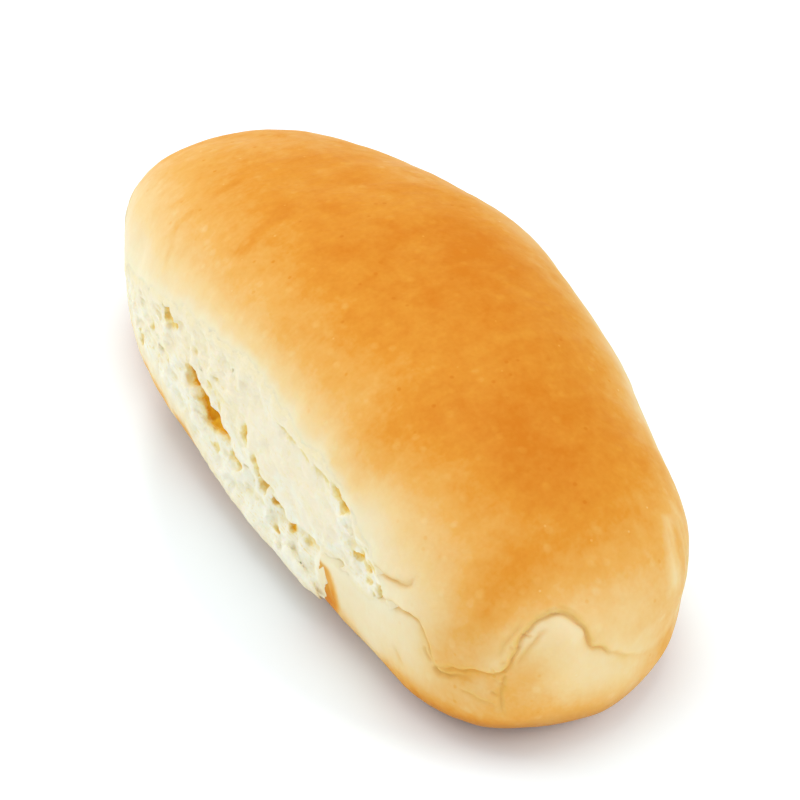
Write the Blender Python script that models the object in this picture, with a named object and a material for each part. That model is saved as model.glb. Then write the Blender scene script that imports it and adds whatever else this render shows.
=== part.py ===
"""A soft hot dog bun with one torn crumb side and a rolled fold at each end.

Lengths are in metres. +X runs along the bun towards its blunter end, +Z is up,
and the origin is the centre of the box that holds the bun, on its flat base.
"""
import math

import bmesh
import bpy

MM = 0.001

# Main sizes of the loaf
LENGTH = 150 * MM
TORN_HALF_WIDTH = 31.0 * MM        # from the long axis to the torn side, -Y
PLAIN_HALF_WIDTH = 32.3 * MM       # from the long axis to the other side, +Y
HEIGHT = 46.5 * MM
WAIST_SHARE = 0.44                 # height of the widest line, as a share of HEIGHT
END_TIP_SHARE = 0.36               # height of both end tips, as a share of HEIGHT
END_BEND = -5.4 * MM               # how far both ends curve towards the torn side
WIDTH_TAPER = 0.097                # how much narrower the blunt end is than the middle

# Roundness of the outline: 2 is an ellipse, and more is blunter
BLUNT_END_PLAN = 2.94
SLIM_END_PLAN = 2.0
END_PROFILE = 2.08
END_UNDERCUT = 8.4
END_UNDERCUT_CURVE = 2.5

# Fullness of the cross-section: 1 is an ellipse, and less is squarer
SIDE_FULLNESS = 0.835
DOME_FULLNESS = 0.835
FOOT_FULLNESS = 0.35

# The flat base: the lowest FLAT_DEPTH is pressed flat, with a soft edge above it
FLAT_DEPTH = 1.2 * MM
FLAT_EDGE = 1.6 * MM

# Torn crumb sides: set back a little from the browned skin
TORN_START = -62 * MM
TORN_END = 36 * MM
TORN_BOTTOM = 7 * MM
TORN_TOP = 29 * MM
TORN_DEPTH = 1.3 * MM
PLAIN_TORN_TOP = 22 * MM
PLAIN_TORN_DEPTH = 0.8 * MM
TORN_EDGE = 4 * MM
CRUMB_WAVE = 0.45 * MM
CRUMB_WAVE_LENGTH = 17 * MM

# The slit that the tear leaves in the crumb, as a hollow
SLIT_PLACE = (-7 * MM, 21 * MM)    # its middle, along X and up Z
SLIT_REACH = (8 * MM, 4.5 * MM)
SLIT_DEPTH = 2.2 * MM

# Rolled folds at the ends: a knob with a groove round it
BLUNT_KNOB_PLACE = (-9.5 * MM, 22.8 * MM)     # its middle, across Y and up Z
SLIM_KNOB_PLACE = (-4.0 * MM, 19.0 * MM)
KNOB_RADIUS = 5.6 * MM
KNOB_RISE = 1.1 * MM
GROOVE_DEPTH = 0.8 * MM
GROOVE_WIDTH = 2.0 * MM
FOLD_STEP = 0.9 * MM               # how far the upper sheet stands out over the lower one
FOLD_START = 48 * MM               # where that step starts, along X
FOLD_HEIGHT = 22 * MM

# Mesh
RINGS = 66
POINTS_ROUND = 72
FOOT_SPACING = 2.2                 # packs points towards the widest line, above the foot
END_SPACING = 0.3                  # packs rings towards both end tips


def blend(low, high, value):
    """0 below low, 1 above high, and a smooth step between."""
    share = min(1.0, max(0.0, (value - low) / (high - low)))
    return share * share * (3 - 2 * share)


def window(start, end, edge, value):
    """1 between start and end, and 0 outside, with soft edges."""
    return blend(start - edge / 2, start + edge / 2, value) * (1 - blend(end - edge / 2, end + edge / 2, value))


def rounded(share, exponent, curve=None):
    """The height of a superellipse arch at a share of its half-span."""
    return max(0.0, 1 - abs(share) ** exponent) ** (1 / (curve or exponent))


def settle(height):
    """Press the underside flat, with a soft edge round the flat."""
    above = height - FLAT_DEPTH
    if above <= 0:
        return 0.0
    if above < FLAT_EDGE:
        return above * above / (2 * FLAT_EDGE)
    return above - FLAT_EDGE / 2


def loaf_point(along, angle):
    """A point of the smooth loaf: along runs from -1 to 1, and angle goes round the long axis."""
    blunt = 0.5 * (1 + math.tanh(2 * along))
    plan = SLIM_END_PLAN + (BLUNT_END_PLAN - SLIM_END_PLAN) * blunt
    width_share = rounded(along, plan) * (1 - WIDTH_TAPER * along)
    full_height = HEIGHT + FLAT_DEPTH + FLAT_EDGE / 2
    tip = full_height * END_TIP_SHARE
    top = tip + (full_height - tip) * rounded(along, END_PROFILE)
    bottom = tip * (1 - rounded(along, END_UNDERCUT, END_UNDERCUT_CURVE))
    waist = tip + (full_height * WAIST_SHARE - tip) * width_share

    across, up = math.cos(angle), math.sin(angle)
    half_width = PLAIN_HALF_WIDTH if across > 0 else TORN_HALF_WIDTH
    y = math.copysign(abs(across) ** SIDE_FULLNESS, across) * half_width * width_share + END_BEND * along ** 2
    if up > 0:
        z = waist + (top - waist) * up ** DOME_FULLNESS
    else:
        z = waist - (waist - bottom) * abs(up) ** FOOT_FULLNESS
    return LENGTH / 2 * along, y, settle(z)


def crowd_ends(along):
    """Move the rings towards the end tips, where the folds are."""
    turn = math.acos(max(-1.0, min(1.0, along)))
    return math.cos(turn - END_SPACING * math.sin(2 * turn))


def spread(angle):
    """Even out the points down each flank, where the foot's curve is steep."""
    if angle >= 0:
        return angle
    quarter = math.pi / 2
    if angle >= -quarter:
        return -quarter * (-angle / quarter) ** FOOT_SPACING
    return -math.pi + quarter * ((math.pi + angle) / quarter) ** FOOT_SPACING


def torn_depth(x, z, torn_side):
    """How far the torn crumb is set back from the loaf at this place on a flank."""
    top = TORN_TOP if torn_side else PLAIN_TORN_TOP
    depth = TORN_DEPTH if torn_side else PLAIN_TORN_DEPTH
    area = window(TORN_START, TORN_END, 2.5 * TORN_EDGE, x) * window(TORN_BOTTOM, top, TORN_EDGE, z)
    wave = math.sin(2 * math.pi * (x + 0.6 * z) / CRUMB_WAVE_LENGTH) * math.sin(2 * math.pi * z / CRUMB_WAVE_LENGTH)
    inward = area * (depth + CRUMB_WAVE * wave)
    if torn_side:
        reach = math.hypot((x - SLIT_PLACE[0]) / SLIT_REACH[0], (z - SLIT_PLACE[1]) / SLIT_REACH[1])
        inward += SLIT_DEPTH * (1 - blend(0.2, 1.0, reach))
    return inward


def knob_rise(y, z, place):
    """How far the rolled knob, and the groove round it, stand out of an end."""
    reach = math.hypot(y - place[0], z - place[1])
    knob = KNOB_RISE * (1 - blend(0.3 * KNOB_RADIUS, KNOB_RADIUS, reach))
    groove = GROOVE_DEPTH * math.exp(-((reach - KNOB_RADIUS) / GROOVE_WIDTH) ** 2)
    upper_half = blend(place[1] - KNOB_RADIUS, place[1], z)
    return knob - groove * (0.35 + 0.65 * upper_half)


def fold_step(x, y, z):
    """The upper sheet stands out over the lower one, from the torn side round to the knob."""
    on_torn_side = 1 - blend(-16 * MM, -10 * MM, y)
    near_fold = math.exp(-((z - FOLD_HEIGHT - 3 * MM) / (4 * MM)) ** 2) * blend(FOLD_HEIGHT - 2 * MM, FOLD_HEIGHT, z)
    return FOLD_STEP * on_torn_side * near_fold * blend(FOLD_START, FOLD_START + 8 * MM, x)


def shape_bun(mesh):
    """Turn a unit ball with its poles on X into the bun."""
    for vertex in mesh.verts:
        along = crowd_ends(vertex.co.x)
        angle = math.atan2(vertex.co.z, vertex.co.y)
        x, y, z = loaf_point(along, spread(angle))
        outward = vertex.co.normalized()
        flank = blend(0.25, 0.7, abs(math.cos(angle)))
        inward = flank * torn_depth(x, z, torn_side=y < END_BEND * along ** 2)
        y -= math.copysign(inward, math.cos(angle))
        place = BLUNT_KNOB_PLACE if along > 0 else SLIM_KNOB_PLACE
        end_share = blend(0.86, 0.97, abs(along))
        x += math.copysign(knob_rise(y, z, place) * end_share, along)
        step = fold_step(x, y, z)
        x += step * outward.x
        y += step * outward.y
        vertex.co = (x, y, z)


def centre_on_base(mesh):
    """Move the bun so that its box stands centred on the origin."""
    lows = [min(vertex.co[axis] for vertex in mesh.verts) for axis in range(3)]
    highs = [max(vertex.co[axis] for vertex in mesh.verts) for axis in range(3)]
    for vertex in mesh.verts:
        vertex.co.x -= (lows[0] + highs[0]) / 2
        vertex.co.y -= (lows[1] + highs[1]) / 2
        vertex.co.z -= lows[2]


def make_crust_material():
    """Plain golden brown crust."""
    material = bpy.data.materials.new("bun_crust")
    material.use_nodes = True
    shader = material.node_tree.nodes["Principled BSDF"]
    shader.inputs["Base Color"].default_value = (0.76, 0.37, 0.08, 1)
    shader.inputs["Roughness"].default_value = 0.5
    shader.inputs["Metallic"].default_value = 0.0
    return material


def build_bun(collection):
    """Model the bun as one closed solid."""
    mesh = bmesh.new()
    bmesh.ops.create_uvsphere(mesh, u_segments=POINTS_ROUND, v_segments=RINGS, radius=1)
    for vertex in mesh.verts:
        vertex.co = (vertex.co.z, vertex.co.x, vertex.co.y)
    shape_bun(mesh)
    centre_on_base(mesh)
    bmesh.ops.recalc_face_normals(mesh, faces=mesh.faces)

    data = bpy.data.meshes.new("bun")
    mesh.to_mesh(data)
    mesh.free()
    for face in data.polygons:
        face.use_smooth = True
    bun = bpy.data.objects.new("bun", data)
    bun.data.materials.append(make_crust_material())
    collection.objects.link(bun)


def main():
    for scene_object in list(bpy.data.objects):
        bpy.data.objects.remove(scene_object, do_unlink=True)
    collection = bpy.data.collections.new("hot_dog_bun")
    bpy.context.scene.collection.children.link(collection)
    build_bun(collection)


main()
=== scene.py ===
"""The looks of a soft hot dog bun: browned skin, rolled folds and a torn crumb side.

Lengths are in metres. +X runs along the bun towards its blunt end, -Y is the
side that is torn open widest, and +Z is up from the flat base.
"""
import math
from itertools import product

import bmesh
import bpy
import numpy as np
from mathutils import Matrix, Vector


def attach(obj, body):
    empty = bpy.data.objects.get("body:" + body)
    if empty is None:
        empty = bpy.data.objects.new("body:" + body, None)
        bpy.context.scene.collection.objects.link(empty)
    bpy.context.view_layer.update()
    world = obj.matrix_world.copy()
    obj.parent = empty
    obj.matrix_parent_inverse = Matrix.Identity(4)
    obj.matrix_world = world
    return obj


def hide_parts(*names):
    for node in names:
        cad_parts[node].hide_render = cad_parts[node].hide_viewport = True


MM = 0.001

# The loaf's form, as in the construction
LENGTH = 150 * MM
TORN_HALF_WIDTH = 31 * MM
PLAIN_HALF_WIDTH = 32.3 * MM
HEIGHT = 46.5 * MM
WAIST_SHARE = 0.44
END_TIP_SHARE = 0.36
END_BEND = -5.4 * MM
WIDTH_TAPER = 0.097
BLUNT_END_PLAN = 2.94
SLIM_END_PLAN = 2
END_PROFILE = 2.08
END_UNDERCUT = 8.4
END_UNDERCUT_CURVE = 2.5
SIDE_FULLNESS = 0.835
DOME_FULLNESS = 0.835
FOOT_FULLNESS = 0.35
FLAT_DEPTH = 1.2 * MM
FLAT_EDGE = 1.6 * MM
FOOT_SPACING = 2.2

# Gentle bulges and hollows of the dough: x, y, z, reach and rise, in millimetres
BULGES = (
    (-66, -5, 31, 14, 0.9), (39, 21, 35, 13, -1.1), (57, 20, 22, 12, 1.3), (71, 9, 12, 10, -1.5),
    (71, -4, 5, 8, 0.9), (71, 2, 4.5, 7, 0.5), (54, -25, 4, 9, 0.9), (-47.5, -27.8, 26.5, 4, -1.1),
    (-49.5, -28.2, 17.5, 7, 0.5), (-8, 27, 35, 16, 0.8), (-30, 18, 40, 16, -0.7),
    (-62, 14, 20, 14, 0.8), (20, 31, 14, 14, 0.6), (73.5, -9.8, 21, 5.2, 1.5),
    (-44, 6, 41, 22, -0.8), (68, 13.5, 18, 6, 0.9), (74, -5.4, 20.4, 1.7, -0.45),
)
# Patches that browned more or less than the skin round them: x, y, z, reach, and percent
BROWN_PATCHES = (
    # The top, from the far end to the near one
    (-52, -17, 35, 15, -17), (-42, -10, 41, 9, 4), (-45, -16, 39, 4, -4), (-34, -22, 37, 10, -8),
    (-24, -5, 45, 5, 4), (-22, -22, 38, 9, -6), (-12.8, -20, 42.2, 5, -7),
    (26.3, -16.3, 42.4, 5, -5), (-7, -11, 45.5, 6, 7), (3, 10, 45, 15, 14), (4, 19, 42, 12, 6),
    (7, -15.5, 44, 4, -6), (1, -6, 46.3, 5, -5), (20, -22, 40, 6, -13), (21, 13, 43.4, 7, 5),
    (28, 17, 41, 11, 10), (30.5, -8.7, 43.7, 4.5, -6), (32, 4, 43.5, 8, -6), (35, -21, 38.5, 5, 6),
    (42, -4, 42, 14, 17), (46, -17, 38.3, 7, -13), (48, 18, 35, 11, 18), (53.5, -10, 37.4, 7, -11),
    (54, -3, 37, 10, 12), (59, 4, 35, 5, -6),
    # The edge of the top above the wide torn side
    (-9, -28, 34.8, 6, 6), (1, -27.5, 35.2, 5, 6), (-5, -23, 39.8, 7, -12), (30, -27.5, 31, 5, 14),
    (33, -27.5, 31.5, 5, 8), (41, -27, 30, 6, -12), (41, -23, 35.5, 5, -8), (50, -23, 33, 7, -14),
    (57, -26, 27, 6, -4),
    # The near end above its fold
    (58, 13, 32, 12, 6), (60, 13.5, 30.5, 5, -6), (59, 20, 22, 9, 10), (60, -18, 32, 7, -10),
    (63, 16, 25, 7, 16), (62.5, -24, 24, 4.5, -7), (64.4, -15.8, 30.2, 5, 18), (66, 0, 30, 6, 4),
    (69.5, 2, 27, 7, -11), (60.3, -18.3, 31.8, 4, -5), (71.8, -7, 25, 3, -7),
    (70.2, -10.5, 26.5, 5, -4), (70.4, -15, 25.3, 3, -6), (70.5, -17, 24, 4, -6),
    (70.6, 7.3, 23.6, 4, -5),
    # The near end below its fold
    (65.5, -23, 20.5, 8, 34), (63.5, -24.8, 16.5, 5, 12), (66.5, 14.5, 14, 8, 28),
    (68.8, -21.9, 16, 3.5, -8), (70.8, -18.4, 21.8, 4.2, -17), (71.2, -19.7, 12.4, 3.5, 7),
    (71.5, 8, 18.5, 7, 19), (71.5, -9, 3, 8, 10), (73, -16.5, 19.7, 4, 12),
    (73.8, -15, 13, 6.5, 24), (74.2, -3, 20.5, 3.5, 6), (74.3, 2.3, 17.8, 4, 6),
    (74.5, -4, 17, 5, -4), (74.7, -11.8, 15.3, 4, -8),
)
# Lines along which the skin is browner or paler: line, width in millimetres, and change
BROWN_AND_HIGHLIGHT_STREAKS = (
    (((-38.7, -23.7, 36.2), (-38.3, -18.8, 39.5), (-39, -12, 41.5)), 1, 0.10),
    (((-38.4, -24.1, 35.9), (-35.2, -27.2, 33.1), (-32.6, -29, 30.7)), 0.8, 0.07),
    (((-20.3, -21.1, 41.1), (-21, -18.1, 42.6), (-22.2, -13.9, 43.9), (-24.9, -9.9, 44.4)),
     1.6, 0.12),
    (((-27, -20.5, 39.8), (-27.6, -16, 42)), 1.2, 0.07),
    # Paler streaks on the low ridges near the blunt end: partly paler skin, partly painted
    # highlight on the ridge tops
    (((61.6, 14.6, 28.4), (63.4, 14.1, 27.2), (65.4, 13.3, 25.2), (67.6, 12.5, 22.2)), 1.7, -0.26),
    (((58.4, 17.4, 28.2), (61.4, 17.2, 24.6), (63.4, 16.4, 20.6), (66.4, 14.6, 15)), 1.5, -0.16),
)

# The torn area on the wide torn side, as a closed outline of (x, z) places in millimetres
TORN_OUTLINE = (
    (-58, 13), (-55, 19), (-48, 22), (-38, 25.5), (-30.5, 28.5), (-21.5, 31.1), (-14.5, 32.1),
    (-8, 32.8), (-2, 33.6), (6, 33.4), (13, 32.2), (19, 31.4), (27, 31.4), (34.7, 29.4), (40.6, 27),
    (45.6, 24.2), (49.4, 19.2), (44, 16.6), (37, 16), (32.4, 15.8), (30.1, 14.8), (29.6, 12),
    (29.7, 9), (28.9, 6.4), (24.6, 5.2), (12, 5), (-1, 5.5), (-14, 7), (-20, 9), (-30, 9.8),
    (-40, 9.6), (-49, 9.5),
)
# The narrower torn area on the other side
PLAIN_TORN_OUTLINE = (
    (-44, 12), (-40, 19), (-30, 22), (-16, 24), (-4, 25), (9, 24), (20, 22.5), (31, 19), (36, 14),
    (33, 9), (20, 6.5), (3, 6), (-16, 6.5), (-33, 7.5),
)

# Mesh sizes
RINGS = 285
POINTS_ROUND = 240
FINEST_SPLIT = 0.28 * MM  # shorter edges near the folds aren't split
CRUMB_STEP = 0.3 * MM


# ---- small maths


def blend(low, high, value):
    """0 below low, 1 above high, and a smooth step between."""
    share = np.clip((value - low) / (high - low), 0, 1)
    return share * share * (3 - 2 * share)


def plateau(value, start, full, fall, end):
    """1 from full to fall, with a smooth step down to 0 at start and at end."""
    return blend(start, full, value) * (1 - blend(fall, end, value))


def bell(gap, width):
    """1 where the gap is nothing, falling off smoothly over the width."""
    return np.exp(-(gap / width) ** 2)


def spot(points, place, reach):
    """1 at a place, falling off smoothly over its reach, both in millimetres."""
    gap_squared = np.sum((points - np.array(place) * MM) ** 2, axis=-1)
    return np.exp(-gap_squared / (reach * MM) ** 2)


NOISE_SLOPES = 1024  # a power of two
NOISE_HASH = (73856093, 19349663, 83492791)
NOISE_SEED_STEP = 17.31
NOISE_HEIGHT = 1.6


def noise(points, size, seed):
    """Smooth random numbers from about -1 to 1, with bumps of this size in millimetres."""
    places = points / (np.asarray(size, float) * MM) + NOISE_SEED_STEP * (seed + 1)
    cells = np.floor(places).astype(np.int64)
    offset = places - cells
    ease = offset ** 3 * (offset * (offset * 6 - 15) + 10)
    slopes = np.random.default_rng(97).normal(size=(NOISE_SLOPES, 3))
    slopes /= np.linalg.norm(slopes, axis=1, keepdims=True)
    total = np.zeros(points.shape[:-1])
    for corner in product((0, 1), repeat=3):
        corner = np.array(corner)
        mixed = np.bitwise_xor.reduce((cells + corner) * np.array(NOISE_HASH), axis=-1)
        slope = slopes[(mixed ^ (mixed >> 11)) & (NOISE_SLOPES - 1)]
        weight = np.prod(np.where(corner == 1, ease, 1 - ease), axis=-1)
        total += weight * np.sum(slope * (offset - corner), axis=-1)
    return NOISE_HEIGHT * total


def smooth_line(points, per_span=12):
    """Points along a smooth (Catmull-Rom) curve through places in millimetres."""
    points = np.array(points) * MM
    padded = np.vstack([2 * points[0] - points[1], points, 2 * points[-1] - points[-2]])
    steps = np.linspace(0, 1, per_span, endpoint=False)[:, None]
    spans = []
    for a, b, c, d in zip(padded, padded[1:], padded[2:], padded[3:]):
        bend = 2 * a - 5 * b + 4 * c - d + steps * (3 * (b - c) + d - a)
        spans.append(b + 0.5 * steps * (c - a + steps * bend))
    return np.vstack(spans + [points[-1:]])


def within(x, z, outline):
    """Whether places in the x-z plane are inside a closed outline."""
    crossings = np.zeros(np.shape(x), int)
    for (x0, z0), (x1, z1) in zip(outline, np.roll(outline, -1, axis=0)):
        if z0 != z1:
            crossings += ((z0 > z) != (z1 > z)) & (x < x0 + (z - z0) * (x1 - x0) / (z1 - z0))
    return crossings % 2 == 1


def box_round(points, path, reach):
    """The numbers of the points that lie in the box round a path."""
    low, high = path.min(axis=0) - reach, path.max(axis=0) + reach
    return np.flatnonzero(np.all((points > low) & (points < high), axis=1))


def distance_to(points, path):
    """How far points are from the nearest point of a dense path."""
    nearest = np.full(points.shape[:-1], np.inf)
    for place in path:
        nearest = np.minimum(nearest, np.sum((points - place) ** 2, axis=-1))
    return np.sqrt(nearest)


# ---- the loaf's form


def arch(share, exponent, curve=None):
    """The height of a superellipse arch at a share of its half-span."""
    return np.maximum(0, 1 - np.abs(share) ** exponent) ** (1 / (curve or exponent))


def section(along):
    """The cross-section's width share, and its top, bottom and waist before the base is flat."""
    along = np.clip(along, -1, 1)
    plan = SLIM_END_PLAN + (BLUNT_END_PLAN - SLIM_END_PLAN) * 0.5 * (1 + np.tanh(2 * along))
    width_share = arch(along, plan) * (1 - WIDTH_TAPER * along)
    full_height = HEIGHT + FLAT_DEPTH + FLAT_EDGE / 2
    tip = full_height * END_TIP_SHARE
    top = tip + (full_height - tip) * arch(along, END_PROFILE)
    bottom = tip * (1 - arch(along, END_UNDERCUT, END_UNDERCUT_CURVE))
    waist = tip + (full_height * WAIST_SHARE - tip) * width_share
    return width_share, top, bottom, waist


def settle(height):
    """Press the underside flat, with a soft edge round the flat."""
    above = height - FLAT_DEPTH
    edge = above * above / (2 * FLAT_EDGE)
    return np.where(above <= 0, 0, np.where(above < FLAT_EDGE, edge, above - FLAT_EDGE / 2))


def spread(angle):
    """Even out the points down each flank, where the foot's curve is steep."""
    quarter = math.pi / 2
    near_side = -quarter * np.abs(angle / quarter) ** FOOT_SPACING
    far_side = -math.pi + quarter * np.abs((math.pi + angle) / quarter) ** FOOT_SPACING
    return np.where(angle >= 0, angle, np.where(angle >= -quarter, near_side, far_side))


def loaf_points(along, angle):
    """Points of the smooth loaf: along runs from -1 to 1, and angle goes round the long axis."""
    width_share, top, bottom, waist = section(along)
    across, up = np.cos(angle), np.sin(angle)
    half_width = np.where(across > 0, PLAIN_HALF_WIDTH, TORN_HALF_WIDTH) * width_share
    y = half_width * np.sign(across) * np.abs(across) ** SIDE_FULLNESS + END_BEND * along ** 2
    above = waist + (top - waist) * np.abs(up) ** DOME_FULLNESS
    below = waist - (waist - bottom) * np.abs(up) ** FOOT_FULLNESS
    z = settle(np.where(up > 0, above, below))
    return np.stack(np.broadcast_arrays(LENGTH / 2 * along, y, z), axis=-1)


def loaf_shift():
    """The move that centres the loaf on the origin, as its CAD solid is."""
    turn = np.linspace(0, math.pi, 401)[:, None]
    angle = np.linspace(-math.pi, math.pi, 401)[None, :]
    y = loaf_points(np.cos(turn), spread(angle))[..., 1]
    return np.array([0, -(y.min() + y.max()) / 2, 0])


SHIFT = loaf_shift()


def flank_y(x, z, side):
    """The y of the loaf's surface on the wide torn flank (side -1) or on the other (side 1)."""
    along = x / (LENGTH / 2)
    width_share, top, bottom, waist = section(along)
    raw = z + FLAT_DEPTH + FLAT_EDGE / 2
    over = np.clip((raw - waist) / (top - waist), 0, 1) ** (2 / DOME_FULLNESS)
    under = np.clip((waist - raw) / (waist - bottom), 0, 1) ** (2 / FOOT_FULLNESS)
    half_width = (PLAIN_HALF_WIDTH if side > 0 else TORN_HALF_WIDTH) * width_share
    reach = half_width * np.maximum(0, 1 - over - under) ** (SIDE_FULLNESS / 2)
    return side * reach + END_BEND * along ** 2 + SHIFT[1]


# ---- meshes


def new_object(name, data):
    """An object in the scene that shows the data."""
    made = bpy.data.objects.new(name, data)
    bpy.context.scene.collection.objects.link(made)
    return made


def read_vectors(items, name):
    """One vector of each of a mesh's items as an array."""
    flat = np.empty(len(items) * 3)
    items.foreach_get(name, flat)
    return flat.reshape(-1, 3)


def write_points(data, points):
    """Move the mesh's vertices to these places."""
    data.vertices.foreach_set("co", np.ascontiguousarray(points, dtype=float).ravel())
    data.update()


def set_masks(data, **masks):
    """Store numbers for each vertex, for the material to read."""
    for name, values in masks.items():
        mask = data.attributes.new(name, "FLOAT", "POINT")
        mask.data.foreach_set("value", np.ascontiguousarray(values, dtype=np.float32))


# ---- folds at the ends

# Creases are lines of (x, y, z) places in millimetres, with the sheet that laps over on the left of
# the line's run. This is the fold round the blunt end, from the torn side past the knob.
FOLD = (
    (46, -28.9, 18.2), (49.4, -28.5, 19.9), (53, -27.8, 20.8), (56.7, -26.9, 20.7),
    (58.4, -26.6, 19.4), (60, -26.1, 16.8), (60.7, -25.8, 14.6), (61.8, -25.4, 14.2),
    (64.6, -24.3, 15.8), (67.3, -22.9, 17), (69.6, -21.2, 17.4), (71.3, -19.6, 18.2),
    (71.8, -18.2, 20.6), (71.1, -16.3, 23.8), (70.7, -12.8, 25.9), (70.9, -10.3, 26.3),
    (71.6, -8, 25.2), (72.9, -6.3, 23.1), (74, -5.8, 20.8), (74.4, -3.8, 19.6), (74.8, -0.9, 17.2),
    (74, 4.7, 13.6), (72, 10, 12),
)
UPPER_CRACK = (
    (39, -29.4, 22), (41.9, -29.3, 22.6), (44.6, -28.9, 23.4), (47, -28.5, 23.9),
    (50.5, -27.8, 24.4), (53.2, -26.9, 25.4), (54.2, -26.2, 26.6), (54.5, -25.5, 27.9),
)
LOWER_CRACK = (
    (60.2, -26.1, 14), (61.2, -25.7, 12.9), (62.8, -25.1, 13.2), (64.8, -24.3, 14.2),
    (68.2, -22.3, 16.4),
)
MID_FOLD = (
    (48.5, -28.6, 18.9), (52.6, -27.9, 20.3), (56.7, -27, 20.8), (57.6, -26.7, 20.3),
    (59.3, -26.3, 17.8), (60.4, -26, 15.4),
)
JOINING_CRACK = ((58.2, -26.7, 16.6), (58.9, -26.5, 15.2), (60, -26.1, 13.8))
DOWN_CREASE = ((71.6, -19.3, 17.6), (71.4, -19.6, 15), (71.2, -19.7, 11.4), (71, -18.7, 7.2))
SLANT_CREASE = ((65.2, -24.1, 12.4), (68.4, -22.1, 11.6), (70.9, -19.9, 10.4))
LOW_CREASE = ((51.2, -28.2, 12.6), (52.6, -27.9, 10.6), (54.4, -27.3, 9.2))
INNER_PUCKER = (
    (72.2, -17.6, 18.6), (72.4, -16.6, 20.9), (72.3, -15.2, 22.6), (72, -13.4, 24),
    (71.8, -11.6, 24.8),
)
OUTER_PUCKER = ((70, -20.6, 20.2), (70.4, -18.8, 22.8), (70.2, -16.6, 25), (69.8, -13.6, 26.9))
HEM = (
    (71.5, -18.4, 21.2), (70.9, -16.1, 24.1), (70.45, -12.7, 26.3), (70.6, -9.9, 26.8),
    (71.4, -7.5, 25.6), (72.8, -5.7, 23.4),
)
SEAM_PLEATS = (
    ((70.6, -18.6, 22.4), (71.3, -17.5, 22.3), (71.9, -16.4, 22.6)),
    ((70.8, -16.4, 24.6), (71.4, -15.5, 24), (72, -14.4, 24)),
    ((70.6, -20.1, 20), (71.5, -18.9, 20.2), (72, -17.8, 20.6)),
    ((70, -21, 19), (70.8, -20.2, 18.2), (71.8, -19, 18)),
    ((69.6, -21.2, 16.6), (70.8, -19.9, 15.7), (71.8, -18.7, 15.3)),
    ((69.8, -21, 13.8), (70.9, -19.8, 13)),
)
SPOT_CREASE = ((73.1, -6.9, 22.8), (73.8, -5.9, 21.3), (74.1, -5, 20.2))
CRUST_EDGE = ((29.7, -30.4, 13.8), (30.7, -30.2, 11.6), (31.7, -30, 9.6), (33.2, -29.6, 7.4))
# Low ridges that run down the plain side near the blunt end
RIDGE = ((59.8, 15, 29.3), (63.1, 14, 27), (66.2, 13.6, 23.4), (68.4, 12.4, 19.6))
OUTER_RIDGE = ((58.8, 17.6, 27.8), (61.4, 17.2, 24.6), (63.4, 16.4, 20.6), (66.4, 14.6, 15))

# The swirl at the slim end, which the browned sheet rolls into
SLIM_FOLD = (
    (-57, -24.5, 17), (-62, -21.5, 20), (-67, -18, 22.5), (-71, -13.5, 25), (-73, -8, 25.5),
    (-74, -3, 23), (-74.2, -0.5, 18.5), (-73.8, -2.5, 14), (-74.2, -7, 12.5), (-74.3, -9.5, 15.5),
    (-74.6, -8, 18.6),
)
SLIM_CREASE = ((-74, -3, 23), (-71, 4, 21.5), (-66, 11, 18), (-60, 16.5, 15))


def line_distance(points, normals, line, reach):
    """Signed distance to a line on the surface, above zero on its left, with the direction to its
    left and the share of its length at the nearest point; 1 m and 0 past the reach."""
    path = smooth_line(line)
    run = np.gradient(path, axis=0)
    run /= np.linalg.norm(run, axis=1, keepdims=True)
    signed, share = np.ones(len(points)), np.zeros(len(points))
    across = np.zeros((len(points), 3))
    near = box_round(points, path, reach)
    gaps = points[near, None] - path[None]
    nearest = np.argmin(np.sum(gaps ** 2, axis=2), axis=1)
    gap = gaps[np.arange(len(near)), nearest]
    tangent = run[nearest]
    along_line = np.sum(gap * tangent, axis=1, keepdims=True) * tangent
    gap -= along_line * ((nearest > 0) & (nearest < len(path) - 1))[:, None]
    left = np.cross(normals[near], tangent)
    left /= np.linalg.norm(left, axis=1, keepdims=True) + 1e-12
    side = np.where(np.sum(gap * left, axis=1) >= 0, 1, -1)
    signed[near] = side * np.linalg.norm(gap, axis=1)
    across[near] = left
    share[near] = nearest / (len(path) - 1)
    return signed, across, share


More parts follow.
